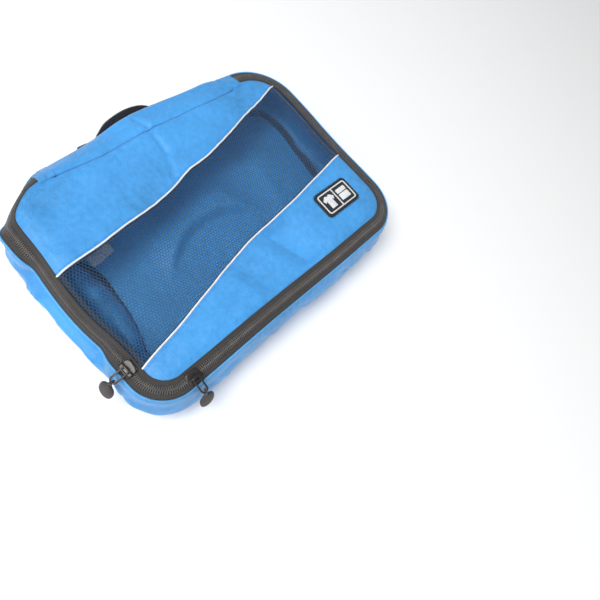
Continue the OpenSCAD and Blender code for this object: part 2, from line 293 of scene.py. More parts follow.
def tube(path, radius, sides=10, close=False, up=(0, 0, 1)):
    """Rows of a tube round path (n x 3). radius is a number or one per point."""
    path = np.asarray(path, float)
    t = np.roll(path, -1, 0) - np.roll(path, 1, 0) if close else np.gradient(path, axis=0)
    t /= np.linalg.norm(t, axis=1)[:, None]
    side = np.cross(t, np.asarray(up, float))
    side /= np.maximum(np.linalg.norm(side, axis=1), 1e-9)[:, None]
    over = np.cross(side, t)
    a = angles(sides)
    rad = np.broadcast_to(np.asarray(radius, float), (len(path),))[:, None, None]
    ring = side[:, None, :] * np.cos(a)[None, :, None] + over[:, None, :] * np.sin(a)[None, :, None]
    return path[:, None, :] + rad * ring


# ---------- materials ----------

class Nodes:
    """Short names for building a material's node tree."""

    def __init__(self, name, rough, metal=0.0, **sockets):
        self.m = bpy.data.materials.new(name)
        self.m.use_nodes = True
        self.t = self.m.node_tree
        self.bsdf = self.t.nodes["Principled BSDF"]
        self.bsdf.inputs["Roughness"].default_value = rough
        self.bsdf.inputs["Metallic"].default_value = metal
        for key, value in sockets.items():
            self.bsdf.inputs[key.replace("_", " ")].default_value = value

    def node(self, kind, **props):
        n = self.t.nodes.new(kind)
        for k, v in props.items():
            setattr(n, k, v)
        return n

    def put(self, value, socket):
        if hasattr(value, "is_output"):
            self.t.links.new(value, socket)
        else:
            socket.default_value = value

    def math(self, op, a, b=0.0, c=0.0):
        n = self.node("ShaderNodeMath", operation=op)
        for value, socket in zip((a, b, c), n.inputs):
            self.put(value, socket)
        return n.outputs[0]

    def vec(self, op, a, b=(0, 0, 0)):
        n = self.node("ShaderNodeVectorMath", operation=op)
        for value, socket in zip((a, b), n.inputs):
            self.put(value, socket)
        return n.outputs["Value" if op in ("LENGTH", "DOT_PRODUCT") else "Vector"]

    def cloth_mm(self):
        """The cloth map in millimetres."""
        uv = self.node("ShaderNodeUVMap", uv_map="cloth").outputs[0]
        return self.vec("MULTIPLY", uv, (1000, 1000, 1000))

    def place_mm(self):
        return self.vec("MULTIPLY", self.node("ShaderNodeTexCoord").outputs["Object"], (1000, 1000, 1000))

    def noise(self, vector, scale, detail=3.0):
        n = self.node("ShaderNodeTexNoise")
        self.put(vector, n.inputs["Vector"])
        n.inputs["Scale"].default_value = scale
        n.inputs["Detail"].default_value = detail
        return n.outputs["Fac"]

    def ramp(self, fac, *stops):
        n = self.node("ShaderNodeValToRGB")
        while len(n.color_ramp.elements) < len(stops):
            n.color_ramp.elements.new(0.5)
        for e, (pos, col) in zip(n.color_ramp.elements, stops):
            e.position, e.color = pos, (*col, 1)
        self.put(fac, n.inputs[0])
        return n.outputs[0]

    def colour(self, out):
        self.put(out, self.bsdf.inputs["Base Color"])

    def product(self, v):
        """The product of a vector's first two parts."""
        return self.math("MULTIPLY", *(self.vec("DOT_PRODUCT", v, axis) for axis in ((1, 0, 0), (0, 1, 0))))

    def bump(self, height, distance_mm, strength=1.0):
        n = self.node("ShaderNodeBump")
        n.inputs["Strength"].default_value = strength
        n.inputs["Distance"].default_value = distance_mm * MM
        self.put(height, n.inputs["Height"])
        self.put(n.outputs[0], self.bsdf.inputs["Normal"])

    def rough(self, fac, lo, hi):
        self.put(self.math("MULTIPLY_ADD", fac, hi - lo, lo), self.bsdf.inputs["Roughness"])


def shade(c, k):
    return tuple(v * k for v in c)


# One honeycomb cell's pitch across and along the cloth
CELL = (3.1, 5.0, 1)


def ripstop(name, base):
    """Coated nylon with a honeycomb of thicker yarns."""
    g = Nodes(name, 0.5, Sheen_Weight=0.25, Sheen_Roughness=0.4, Specular_IOR_Level=0.45)
    mm = g.cloth_mm()
    p = g.vec("DIVIDE", mm, CELL)
    # Two interleaved rectangular lattices: the nearer centre is the honeycomb cell's
    edge = []
    for lattice in (p, g.vec("ADD", p, (0.5, 0.5, 0))):
        q = g.vec("ABSOLUTE", g.vec("SUBTRACT", g.vec("FRACTION", lattice), (0.5, 0.5, 0)))
        across, slant = (g.vec("DOT_PRODUCT", q, axis) for axis in ((1, 0, 0), (0.5, 0.75, 0)))
        edge.append(g.math("MAXIMUM", across, slant))
    near = g.math("MINIMUM", *edge)
    yarn = g.math("SMOOTH_MAX", g.math("MULTIPLY_ADD", near, 7.0, -2.5), 0.0, 0.25)
    weave = g.vec("SINE", g.vec("MULTIPLY", mm, (9.5, 9.5, 0)))
    thread = g.product(weave)
    crinkle = g.noise(mm, 0.22, 5)
    broad = g.noise(mm, 0.07, 3)
    height = g.math("ADD", yarn, g.math("ADD", g.math("MULTIPLY", thread, 0.12), g.math("MULTIPLY", crinkle, 2.2)))
    g.bump(g.math("MULTIPLY_ADD", broad, 7.0, height), 0.2, 0.85)
    patch = g.noise(g.place_mm(), 0.018, 4)
    mottle = g.math("MULTIPLY_ADD", patch, 1.1, g.math("MULTIPLY_ADD", crinkle, 0.7, -0.26))
    tone = g.math("ADD", g.math("MULTIPLY", yarn, -0.5), mottle)
    g.colour(g.ramp(tone, (0.1, shade(base, 0.6)), (0.55, base), (0.95, shade(base, 1.25))))
    g.rough(crinkle, 0.36, 0.62)
    return g.m


def tape_cloth(name, base, rib=0.9, depth=0.1, rough=(0.55, 0.8)):
    """Narrow woven tape. rib is the pitch of its ribs along it, in mm."""
    g = Nodes(name, 0.7, Sheen_Weight=0.3, Sheen_Roughness=0.45)
    mm = g.cloth_mm()
    wave = g.vec("SINE", g.vec("MULTIPLY", mm, (TAU / rib, TAU / rib, 0)))
    fuzz = g.noise(mm, 1.6, 4)
    h = g.math("ADD", g.math("MULTIPLY", g.product(wave), 0.5), fuzz)
    g.bump(h, depth)
    g.colour(g.ramp(h, (0.1, shade(base, 0.55)), (0.5, base), (1.0, shade(base, 1.6))))
    g.rough(fuzz, *rough)
    return g.m


def moulded(name, base, rough, grain, depth, metal=0.0, wear=1.5):
    """Moulded rubber, resin or cast metal with a fine grain and lighter wear."""
    g = Nodes(name, rough, metal)
    mm = g.place_mm()
    fine, broad = g.noise(mm, grain, 5), g.noise(mm, 0.12, 3)
    g.bump(fine, depth)
    tone = g.math("MULTIPLY_ADD", broad, 0.6, g.math("MULTIPLY", fine, 0.4))
    g.colour(g.ramp(tone, (0.3, shade(base, 0.75)), (0.5, base), (0.72, shade(base, wear))))
    g.rough(fine, rough - 0.08, rough + 0.1)
    return g.m


BLUE = (0.049, 0.288, 0.655)
M = {
    "cloth": ripstop("cloth_blue_ripstop", BLUE),
    # The rolled hem is the wall's own cloth in a lighter blue: a painted highlight along its edge
    "hem": ripstop("cloth_blue_hem_painted_highlight", (0.075, 0.35, 0.7)),
    # The bottom cloth is the same blue cloth made lighter: painted light in the bag's shaded inside, seen through the
    # knit
    "cloth_floor_painted_light": ripstop("cloth_blue_bottom_painted_light", (0.062, 0.34, 0.74)),
    "binding": tape_cloth("binding_black", (0.017, 0.017, 0.02), 1.2, 0.12),
    "label": tape_cloth("label_white_satin", (0.86, 0.87, 0.9), 0.5, 0.03, (0.3, 0.45)),
    "tape": tape_cloth("zip_tape_charcoal", (0.04, 0.036, 0.034), 0.8, 0.12),
    # The coil is several times lighter than the tape: a painted highlight on its teeth
    "coil": moulded("zip_coil_nylon_painted_highlight", (0.16, 0.147, 0.138), 0.3, 1.4, 0.03),
    "webbing": tape_cloth("webbing_black", (0.016, 0.016, 0.017), 1.5, 0.3),
    "mesh": tape_cloth("mesh_navy_knit", (0.02, 0.082, 0.185), 0.7, 0.06),
    "piping": tape_cloth("piping_white", (0.82, 0.83, 0.85), 0.7, 0.05, (0.35, 0.5)),
    "thread": tape_cloth("thread_blue", (0.05, 0.27, 0.66), 0.6, 0.05),
    "thread_dark": tape_cloth("thread_black", (0.02, 0.02, 0.022), 0.6, 0.05),
    "badge": moulded("badge_rubber_black", (0.014, 0.015, 0.017), 0.42, 1.2, 0.03),
    "print": moulded("badge_print_white", (0.72, 0.74, 0.76), 0.4, 1.2, 0.02, wear=1.1),
    "metal": moulded("slider_gunmetal", (0.055, 0.052, 0.05), 0.36, 0.8, 0.03, metal=0.7, wear=1.9),
    "rubber": moulded("pull_rubber", (0.052, 0.043, 0.042), 0.6, 1.7, 0.06, wear=1.35),
}


# ---------- the lid's surface ----------

# Each piping: its ends along Y, its bow, and where the cloth pulls it aside: (along X, reach, how far)
REAR = (17.5, 70.0, -7.5, ((-2, 14, 1.6), (-38, 22, -1.6), (80, 26, 1.8)))
FRONT = (-68.0, -21.5, 4.0, ((-6, 32, 2.0), (-95, 32, -1.4), (70, 40, -0.9)))
LID_TOP = 48.6
SEAM_R = -10.2
BADGE_LO, BADGE_HI = (np.array(c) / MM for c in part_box("badge"))
BADGE = (BADGE_LO + BADGE_HI) / 2


def piping_y(arc, x):
    yl, yr, bow, pulls = arc
    t = np.asarray(x, float) / (HX - BAND)
    wobble = 0.14 * np.sin(t * 21 + 1)
    for at, reach, far in pulls:
        wobble = wobble + far * bell(x, at, reach)
    return (yl + yr) / 2 + t * (yr - yl) / 2 + bow * (1 - t * t) + wobble * (1 - t ** 4)


def crease(x, y, a, b, width, fade=8):
    """1 along the line from a to b, falling to 0 over width to its sides and over fade at its ends."""
    ax, ay, bx, by = *a, *b
    length = math.hypot(bx - ax, by - ay)
    u = ((x - ax) * (bx - ax) + (y - ay) * (by - ay)) / length
    v = ((x - ax) * (by - ay) - (y - ay) * (bx - ax)) / length
    return bell(v, 0, width) * smooth((u + fade) / fade) * smooth((length + fade - u) / fade)


def creases(x, y, folds):
    """The height of several creases: each has its height, then what crease asks for."""
    return sum(height * crease(x, y, *line) for height, *line in folds)


def seam_r(x):
    """Where the hinge strip's seam runs, as distance outside the zip's centre line."""
    return SEAM_R - 1.8 * bell(x, -50, 24) - 0.7 * bell(x, 75, 20) + 0.9 * bell(x, 0, 9)


def strip_edge(x, y):
    """1 where the lid's edge is the hinge seam instead of the zip."""
    return np.where(y > 0, smooth((93 - np.abs(x)) / 5), 0)


LID_FOLDS = (
    (-1.3, (-4, 90), (-5, 62), 2.2), (-0.9, (-5, 62), (-13, 40), 3.0),
    (0.7, (-118, 30), (-60, 66), 7), (0.6, (40, 84), (78, 62), 6),
    (-0.6, (-70, -84), (-20, -60), 5), (0.5, (40, -84), (84, -66), 6),
)
# The front panel has slack wedges: each drops to a sharp line and comes up slowly beyond it.
# For each: where along X, its slant, how far the drop reaches, its depth
WEDGES = ((13, 0.34, 18, 5.5), (-30, 0.3, 12, 2.4))


def lid_z(x, y):
    x, y = np.asarray(x, float), np.asarray(y, float)
    d = -rim_distance(x, y)
    # Under the zip tape the cloth lies lower than at the hinge
    z = LID_TOP - 1.35 + 1.35 * smooth((d - 5) / 7) - 0.9 * smooth((6.4 - d) / 1.0) * (1 - strip_edge(x, y))
    # Crown of the cloth just inside the zip, then a shallow sag across the middle and over the mesh
    z = z + 1.3 * bell(d, 17, 9) - 1.6 * smooth((d - 22) / 45)
    z = z - 1.2 * smooth((piping_y(REAR, x) - y) / 18) * smooth((y - piping_y(FRONT, x)) / 18)
    z = z + 0.6 * ripple(x, y, 95, 11) * smooth((d - 6) / 9) + 0.26 * ripple(x, y, 34, 12) * smooth((d - 8) / 10)
    for arc, seed in ((REAR, 15), (FRONT, 16)):
        gap = np.abs(y - piping_y(arc, x))
        z = z + 0.3 * ripple(x, 0 * x, 13, seed) * np.exp(-gap / 5)
    z = z + 0.22 * ripple(x, y, 15, 17) * bell(d, 12, 4) + creases(x, y, LID_FOLDS)
    for at, slant, drop, depth in WEDGES:
        u = x - at + (y + 40) * slant
        slope = np.where(u < 0, np.clip(1 + u / drop, 0, 1) ** 1.5, smooth(1 - u / 42))
        z = z - depth * slope * smooth((-34 - y) / 14) * smooth((d - 6) / 9)
    z = z - 1.1 * strip_edge(x, y) * bell(d, -seam_r(x), 0.8)
    beside_badge = np.maximum(np.abs(x - BADGE[0]) - 21, np.abs(y - BADGE[1]) - 13.5)
    return z + (LID_TOP - z) * np.exp(-np.maximum(beside_badge, 0) / 5)


def on_lid(x, y, lift=0.0):
    return np.stack(settle(x, y, lid_z(x, y) + lift), -1)


def outline(s):
    """The edge of the lid's cloth: under the zip tape, or at the hinge seam."""
    x, y, nx, ny = on_loop(s, HX, HY, RADII)
    r = -4.9 + (seam_r(x) + 4.9) * strip_edge(x, y)
    return x + r * nx, y + r * ny


def outline_at(arc, side):
    """Distance round the rim at which a piping arc meets the lid's edge."""
    s = np.linspace(0, RIM_L, 6000)
    x, y = outline(s)
    gap = np.abs(y - piping_y(arc, x)) + np.where(np.sign(x) == side, 0, 1e3)
    return s[np.argmin(gap)]


def make_panel(name, arc, s0, s1, node):
    """A cloth panel from the piping to the lid's edge between rim distances s0 and s1."""
    u, v = np.linspace(0.003, 0.997, 190), np.linspace(0, 1, 46)[None, :]
    edge = outline(s0 + (s1 - s0) * u)
    x0, x1 = outline(np.array([s0, s1]))[0]
    px = x0 + (x1 - x0) * u
    x, y = (a[:, None] + (e - a)[:, None] * v for a, e in zip((px, piping_y(arc, px)), edge))
    b = Build()
    b.grid(on_lid(x, y), uv=joined(x, y))
    b.piece(name, "cloth", "lid", "body_cloth", node, thickness=CLOTH)


make_panel("lid_rear_cloth", REAR, outline_at(REAR, 1) - RIM_L, outline_at(REAR, -1), "lid_rear_panel")
make_panel("lid_front_cloth", FRONT, outline_at(FRONT, -1), outline_at(FRONT, 1), "lid_front_panel")


# ---------- mesh window ----------

# Pitch of the knitted holes, and the web between two of them
PITCH, WEB = 2.4, 0.5


def make_net():
    j, i = np.mgrid[-45:46, -60:61]
    cx = (i + 0.5 * (j % 2)) * PITCH
    cy = j * (PITCH * math.sqrt(3) / 2)
    inside = (rim_distance(cx, cy) < -5.6) & (cy < piping_y(REAR, cx) + 0.9) & (cy > piping_y(FRONT, cx) - 0.9)
    cx, cy = cx[inside], cy[inside]
    a = np.radians(np.arange(6) * 60 + 30)
    corner_r = PITCH / math.sqrt(3)
    hole_r = (PITCH - WEB) / math.sqrt(3) * 0.985
    ox, oy = cx[:, None] + corner_r * np.cos(a), cy[:, None] + corner_r * np.sin(a)
    keys = np.round(joined(ox, oy) / 0.05).astype(int).reshape(-1, 2)
    _, first, shared = np.unique(keys, axis=0, return_index=True, return_inverse=True)
    shared = shared.reshape(-1, 6)
    outer = joined(ox.ravel()[first], oy.ravel()[first])
    # The holes' corners are cut, so the knitted holes look round
    b = np.radians(np.arange(12) * 30 + 15)
    hole = joined(cx[:, None] + hole_r * np.cos(b), cy[:, None] + hole_r * np.sin(b) * 1.02)
    xy = np.concatenate([outer, hole.reshape(-1, 2)])
    n = len(outer)
    faces = []
    for c in range(len(cx)):
        h = n + c * 12
        for k in range(6):
            o0, o1 = int(shared[c, k]), int(shared[c, (k + 1) % 6])
            k0, k1, k2 = h + 2 * k, h + (2 * k + 1) % 12, h + (2 * k + 2) % 12
            faces.append((o0, o1, k2, k1))
            faces.append((k0, o0, k1))
    net = Build()
    net.add(on_lid(xy[:, 0], xy[:, 1], -0.45), faces, xy)
    net.piece("mesh_window_knit", "mesh", "lid", "mesh", "lid_mesh_window", thickness=0.45, offset=0)


make_net()


# How a stitch rises out of the cloth and sinks back into it
RISE = np.array([-0.3, 0.02, 0.1, 0.02, -0.3])


def stitches(build, points, length=2.3, gap=1.0, radius=0.19, rise=RISE + 0.05, first=0.5, axis=2):
    """Short thread loops laid along a line of points, standing up along an axis."""
    p = np.asarray(points, float)
    d = length_along(p)
    for a in np.arange(first, d[-1] - length, length + gap):
        t = a + length * np.array([0, 0.2, 0.5, 0.8, 1])
        q = np.stack([np.interp(t, d, p[:, k]) for k in range(3)], -1)
        q[:, axis] += rise
        build.tube(q, radius, 5, np.eye(3)[axis])


for arc, name, away in ((REAR, "rear", 1), (FRONT, "front", -1)):
    x = np.linspace(-HX + 5.9, HX - 5.9, 420)
    x = x[rim_distance(x, piping_y(arc, x)) < -5.4]
    y = piping_y(arc, x)
    b = Build()
    b.tube(on_lid(x, y, 0.35), 0.72, 12)
    b.piece("piping_cord_" + name, "piping", "lid", "piping", "piping_" + name)
    b = Build()
    stitches(b, on_lid(x, y + 2.2 * away, 0.12))
    b.piece("piping_stitching_" + name, "thread", "lid", "body_cloth")
    # Binding inside, sewn under the piping and seen as a dark edge through the knit
    b = Build()
    rows = ((-1.6, -0.95), (0.0, -0.85), (2.0, -0.95), (4.6, -1.0))[::-away]
    b.grid(np.stack([on_lid(x, y + off * away, dz) for off, dz in rows], 1))
    b.piece("mesh_seam_tape_" + name, "binding", "lid", "binding_tape", "mesh_seam_binding_" + name,
            thickness=BINDING)


# ---------- zip ----------

ZIP_FROM, ZIP_TO = ZIP_END, RIM_L - ZIP_END
TOOTH = 1.5
COIL = [(2.55, -0.2), (2.78, 0.55), (2.5, 1.15), (1.3, 1.5), (0.2, 1.45), (-0.42, 1.05), (-0.45, 0.4), (0.9, -0.2)]
# Stitch lines: how far across the band and over it
ZIP_SEAMS = ((1.75, 1.5), (6.0, 0.3))


def band_strip(build, profile, step=1.6):
    """Sweeps a closed profile of (across, over) points along the zip."""
    s = np.linspace(ZIP_FROM, ZIP_TO, int((ZIP_TO - ZIP_FROM) / step))
    rz = tilted(profile)
    p = band_point(s[:, None], rz[None, :, 0], rz[None, :, 1])
    uv = np.stack(np.broadcast_arrays(s[:, None], length_along(profile)), -1)
    build.grid(p, close_v=True, caps=True, uv=uv)


def tape_profile(side):
    """Tape with two raised ribs beside the coil and a thin outer edge. side is 1 for the bag's half."""
    s = np.array([0.75, 1.2, 2.6, 2.95, 3.2, 3.55, 3.85, 4.1, 4.45, 4.75, 5.0, 5.4, 5.75, 6.15, 6.5, 6.7])
    n = np.array([-0.1, 0.1, 0.12, 0.16, 0.42, 0.5, 0.3, 0.06, 0.36, 0.42, 0.24, 0.02, 0.2, 0.24, 0.1, -0.2])
    top = joined(s, n)
    low = np.array([[6.5, -0.55], [3.6, -0.6], [1.2, -0.6]])
    loop = np.concatenate([top, low])
    return loop if side > 0 else (loop * (-1, 1))[::-1]


for half, side, body in (("lid", -1, "lid"), ("base", 1, "bag")):
    b = Build()
    band_strip(b, tape_profile(side))
    b.piece("zip_tape_woven_" + half, "tape", body, "zip_tape", "zip_tape_" + half)
    b = Build()
    r, z = tilted(np.array(COIL) * (side, 1)).T
    lean = np.linspace(-0.16, 0.16, len(COIL))
    start = ZIP_FROM + ZIP_COVER + (0 if side < 0 else TOOTH / 2)
    for s in np.arange(start, ZIP_TO - ZIP_COVER, TOOTH):
        b.tube(band_point(s + lean, r, z), 0.3, 6, up=(0.3, 0.2, 1))
    b.piece("zip_coil_teeth_" + half, "coil", body, "zip_coil", "zip_coil_" + half)
    b = Build()
    s = np.arange(ZIP_FROM + ZIP_COVER, ZIP_TO - ZIP_COVER, 0.7)
    for across, over in ZIP_SEAMS:
        r, z = tilted(joined(side * across, over + 0.08 * np.cos(s * TAU / 2.8))).T
        b.tube(band_point(s, r, z), 0.2, 5)
    b.piece("zip_stitching_" + half, "thread_dark", body, "zip_tape")


# ---------- bag body ----------

WALL = np.array([
    (6.9, 43.5), (7.6, 42.6), (9.3, 39.6), (11.4, 35.5), (13.1, 31), (14.2, 26), (14.5, 21), (13.9, 15.5), (12.4, 10),
    (10.4, 5.5), (7.6, 2.4), (4.2, 1.25),
])
SEAM_LO, SEAM_HI = (np.array(c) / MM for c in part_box("bottom_seam_binding"))
SEAM_C, SEAM_H = (SEAM_LO + SEAM_HI) / 2, (SEAM_HI - SEAM_LO) / 2
SEAM_RADII = [24.0] * 4


def seam_point(s, k=1.0, off=0.0):
    """Points on the bottom seam, moved outward by off, or inside it at the fraction k of its size."""
    x, y, nx, ny = on_loop(s, SEAM_H[0], SEAM_H[1], SEAM_RADII, SEAM_C[0], SEAM_C[1])
    x, y = x + off * nx, y + off * ny
    x = x + 8 * smooth((x - 80) / 45) * bell(y, 50, 44)
    x = x - np.minimum(7 * ((y + 3) / 38) ** 2, 11) * smooth((-60 - x) / 38)
    return SEAM_C[0] + (x - SEAM_C[0]) * k, SEAM_C[1] + (y - SEAM_C[1]) * k


BOTTOM_FOLDS = (
    (2.2, (20, 50), (96, 34), 8, 24), (2.0, (-60, -50), (10, -28), 9, 24), (1.8, (60, -60), (84, 20), 8, 22),
)


def bottom_z(x, y):
    z = 1.5 + 0.5 * (1 + ripple(x, y, 80, 31) / 2)
    # One slack fold arches across the middle: a long slope behind it and a short one in front
    v = y - 16 + 0.0084 * x * x
    z = z + 8.0 * bell(v, 0, np.where(v > 0, 24, 6)) * smooth((62 - np.abs(x + 2)) / 30)
    return np.maximum(z + creases(x, y, BOTTOM_FOLDS), 1.2)


def wall_rows(s):
    """The outside of the wall's cloth, from under the zip down the bulge to its foot on the floor."""
    t = length_along(WALL)
    v = np.linspace(0, t[-1], WALL_ROWS)
    knots = np.stack([np.interp(v, t, WALL[:, k]) for k in (0, 1)])
    kernel = np.array([1, 2, 1]) / 4
    for _ in range(2):
        knots[:, 1:-1] = np.stack([np.convolve(k, kernel, "valid") for k in knots])
    r, z = knots
    s2 = np.asarray(s)[:, None]
    x, y, nx, ny = on_loop(s2, HX, HY, RADII)
    h = z / WALL[0, 1]
    free = smooth((1 - h) * 3.5) * smooth(h * 6 + 0.1)
    q = 1.1 * ripple(x + 1.2 * z, y - 0.9 * z, 120, 21) + 0.35 * ripple(x - 1.7 * z, y - 1.5 * z, 55, 22)
    corner = bell(np.minimum.reduce([np.hypot(x - cx, y - cy) for cx, cy in CORNERS]), 0, 26)
    pucker = 0.28 * np.sin(s2 * TAU / 7.5 + 2 * np.sin(s2 / 31)) * bell(h, 0.93, 0.07)
    buckle = corner * 0.9 * np.sin(z / 6.2 + x / 31 + y / 23)
    left, nook = bell(x, -HX, 30), bell(x, -131, 30) * bell(y, 84, 30)
    # One long fold runs round the bag where the walls have sagged
    sag = -2.6 * bell(z, 17 + 4 * ripple(x, y, 150, 24), 3.2) * smooth(0.6 + 0.8 * ripple(x, y, 170, 25))
    out = r + free * (q + crumple(s2, z) + buckle + sag - 0.4 - 2.6 * left - 5.5 * nook) + pucker
    back = bulge(x) * (ny > 0.9) * smooth((z - 28) / 11)
    out = out + back * np.maximum(13.6 - out, 0)
    out, z = rolled(s2, out, z + 0 * x)
    return np.stack(settle(x + out * nx, y + out * ny, z), -1)


def bulge(x):
    """How full the cloth behind the hinge is, along the back."""
    return smooth((x + 52) / 52) * (1 - 0.4 * smooth((x - 8) / 50)) * smooth((92 - x) / 22)


def make_creases(count, seed):
    rng = np.random.default_rng(seed)
    angle = np.radians(rng.choice([-1, 1], count) * rng.uniform(8, 50, count))
    return np.column_stack([
        rng.uniform(0, RIM_L, count), rng.uniform(4, 40, count), np.cos(angle), np.sin(angle),
        rng.uniform(16, 42, count), rng.uniform(0.3, 0.8, count), rng.uniform(2.0, 4.2, count),
    ])


CREASES = make_creases(95, 77)


def crumple(s, z):
    """Sharp short creases of thin coated cloth: a groove with a ridge beside it."""
    total = 0
    for s0, z0, ca, sa, length, depth, width in CREASES:
        ds = np.mod(s - s0 + RIM_L / 2, RIM_L) - RIM_L / 2
        u, v = ds * ca + (z - z0) * sa, (-ds * sa + (z - z0) * ca) / width
        total = total + depth * bell(u, 0, length, 4) * (0.8 * bell(v, 1.7, 1) - bell(v, 0, 1))
    return total


CORNERS = [(SIDE_X[q] * (HX - 0.29 * RADII[q]), SIDE_Y[q] * (HY - 0.29 * RADII[q])) for q in range(4)]
WALL_ROWS, FLOOR_ROWS = 46, 9


def wall_sheet(s):
    """The wall with the cloth that runs in from its foot to the bottom seam, and its cloth map."""
    wall, (sx, sy) = wall_rows(s), seam_point(s)
    foot = wall[:, -1]
    k = np.linspace(0, 1, FLOOR_ROWS + 1)[1:, None]
    x = foot[:, 0] + (sx - foot[:, 0]) * k
    y = foot[:, 1] + (sy - foot[:, 1]) * k
    # Inside on the left, the folded wall cloth stands up in a soft pillow
    pillow = 19 * bell(x, -122, 26) * smooth((62 - y) / 40) * smooth((y + 84) / 40)
    rise = (1.1 + pillow) * np.sin(k ** 1.5 * math.pi)
    z = foot[:, 2] + (bottom_z(sx, sy) - foot[:, 2]) * k + rise * (1 + ripple(x, y, 30, 27) / 4)
    floor = joined(x, y, np.maximum(z, 1.0)).transpose(1, 0, 2)
    p = np.concatenate([wall, floor], 1)
    run = np.concatenate([np.zeros((len(s), 1)), np.cumsum(np.linalg.norm(np.diff(p, axis=1), axis=2), 1)], 1)
    uv = joined(np.broadcast_to(np.asarray(s)[:, None], run.shape), -run.mean(0)[None, :] + 0 * run)
    return p, uv


def make_walls():
    around = np.linspace(ZIP_FROM, ZIP_TO, 430)
    behind = np.linspace(-ZIP_END - 1.5, ZIP_END + 1.5, 115)
    # The back wall starts a few rows lower, under the hinge strip
    for s, skip, name, node in ((around, 0, "walls", "wall_front_and_sides"), (behind, 4, "wall_back", "wall_back")):
        p, uv = wall_sheet(s)
        b = Build()
        b.grid(p[:, skip:], uv=uv[:, skip:])
        b.piece(name + "_cloth", "cloth", "bag", "body_cloth", node, thickness=CLOTH)
    # The walls' hem is rolled up just outside the zip. Its cloth is a lighter blue than the walls: a painted
    # highlight along the rolled edge
    b = Build()
    b.tube(band_point(np.linspace(ZIP_FROM, ZIP_TO, 420), 7.0, 43.7), 0.6)
    b.piece("wall_hem_roll", "hem", "bag", "body_cloth")


make_walls()


def make_bottom():
    columns = 260
    s = np.linspace(0, RIM_L, columns, endpoint=False)
    x, y = (np.array(a) for a in zip(*(seam_point(s, f) for f in np.linspace(0.01, 1.0, 56))))
    b = Build()
    b.grid(joined(x, y, bottom_z(x, y)), close_v=True)
    b.f.append(tuple(range(columns))[::-1])
    # Its cloth is a lighter blue than the walls: painted light in the bag's shaded inside
    b.piece("bottom_cloth", "cloth_floor_painted_light", "bag", "body_cloth", "base_panel", thickness=CLOTH)
    # Tape over the bottom seam, standing a little on its edge
    b = Build()
    s = np.linspace(0, RIM_L, 300, endpoint=False)
    x, y = seam_point(s)
    narrow = 1 - 0.93 * smooth((-70 - x) / 20) * smooth((24 - y) / 34)
    rows = []
    for off, dz in ((-5.5, 1.5), (-4.0, 2.1), (-1.5, 2.3), (1.0, 1.9), (3.5, 1.4)):
        x, y = seam_point(s, off=off * narrow)
        rows.append(joined(x, y, bottom_z(x, y) + dz + 0.5 * ripple(x, y, 44, 33)))
    b.grid(np.stack(rows, 1), close_u=True)
    b.piece("bottom_seam_tape", "binding", "bag", "binding_tape", "bottom_seam_binding", thickness=BINDING)


make_bottom()

for side, name in ((-1, "left"), (1, "right")):
    s = -side * ZIP_END + np.linspace(-3, 3, 7)
    wall = wall_rows(s)[:, 5:41]
    # It lies inside the cloth
    wall[..., :2] -= 1.5 * np.stack(on_loop(s, HX, HY, RADII)[2:], -1)[:, None]
    b = Build()
    b.grid(wall)
    b.piece("wall_seam_tape_" + name, "binding", "bag", "binding_tape", "wall_seam_binding_" + name,
            thickness=BINDING)


def make_label():
    lo, hi = (np.array(c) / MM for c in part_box("care_label"))
    u, v = np.meshgrid(np.linspace(0, 1, 22), np.linspace(0, 1, 26))
    x = lo[0] + u * (hi[0] - lo[0])
    y = lo[1] + v * (hi[1] - lo[1])
    z = bottom_z(x, y) + 2.6 + 8 * u * u + 0.5 * np.sin(v * 5)
    b = Build()
    b.grid(joined(x, y, z))
    b.piece("care_label_blank", "label", "bag", "label_cloth", "care_label", thickness=0.35)
    b = Build()
    for f in (0.06, 0.94):
        line = joined(x[:, 0] + f * (hi[0] - lo[0]), y[:, 0], z[:, int(f * 21)])
        stitches(b, line, 1.6, 0.8, 0.14, RISE + 0.1)
    b.piece("care_label_stitching", "thread", "bag", "label_cloth")


make_label()


# ---------- hinge strip and zip ends ----------

# The strip's section, from the seam on the lid to the bag's back wall
STRIP = np.array([
    (SEAM_R - 0.1, LID_TOP - 2.2), (SEAM_R + 0.2, LID_TOP - 0.8), (SEAM_R + 1.1, LID_TOP),
    (-6.0, LID_TOP + 0.2), (-2.4, LID_TOP - 0.4), (0.6, 47.3), (3.6, 46.2), (6.0, 45.2), (7.6, 44.1),
    (8.6, 42.8), (9.3, 41.4), (10.1, 39.7),
])
HINGE_Y = HY + HINGE_R
# A point follows the bag below and outside the hem, and the lid above and inside it
FOLD = {
    "start": (0, (HINGE_Y + 2.2) * MM, (HINGE_Z - 2.4) * MM),
    "end": (0, (HINGE_Y - 2.4) * MM, (HINGE_Z + 1.4) * MM),
}


